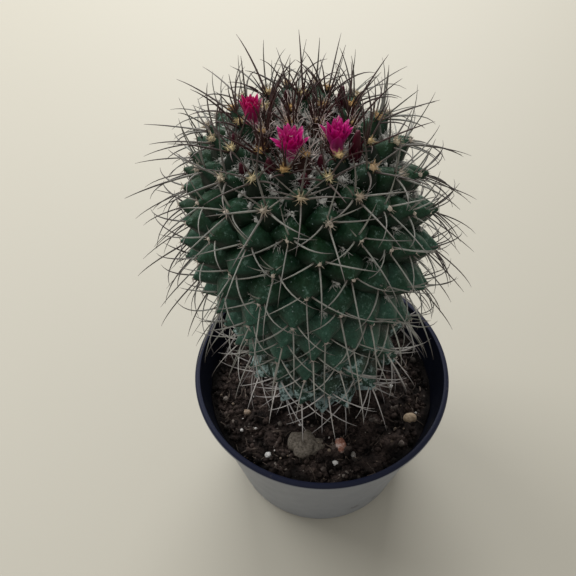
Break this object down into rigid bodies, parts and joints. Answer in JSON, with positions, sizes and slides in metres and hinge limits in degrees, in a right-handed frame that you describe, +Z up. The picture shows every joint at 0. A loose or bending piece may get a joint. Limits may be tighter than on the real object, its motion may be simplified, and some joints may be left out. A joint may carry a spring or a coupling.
{
  "type": "potted cactus",
  "caption": "Short columnar cactus with spirals of pointed tubercles, long spines, magenta flowers and red buds at the crown, in soil in a thin round pot.",
  "frame": {"origin": "centre of the underside of the pot, on the surface it stands on", "axes": "+Z up along the pot, -Y towards the side the picture shows, +X to its right"},
  "size_m": [0.131, 0.1329, 0.2297],
  "materials": {
    "pot": "thin black nursery plastic, satin",
    "soil": "dark brown crumbly peat and grit",
    "cactus": "dark blue-green skin with tan and brown spines",
    "flower": "magenta petals",
    "bud": "dark red closed buds",
    "clod": "grey-brown lump of dry compost",
    "stone": "matt stones",
    "perlite": "white expanded grains"
  },
  "bodies": {
    "root": {"pot": "pot", "soil": "soil", "cactus": "cactus", "clod": "clod", "flower_1": "flower", "flower_2": "flower", "flower_3": "flower", "bud_1": "bud", "bud_2": "bud", "bud_3": "bud", "bud_4": "bud", "bud_5": "bud", "bud_6": "bud", "bud_7": "bud", "bud_8": "bud", "bud_9": "bud", "stone_tan": "stone", "stone_rust": "stone", "stone_dark": "stone", "stone_small": "stone", "perlite_1": "perlite", "perlite_2": "perlite", "perlite_3": "perlite", "perlite_4": "perlite"}
  },
  "joints": []
}
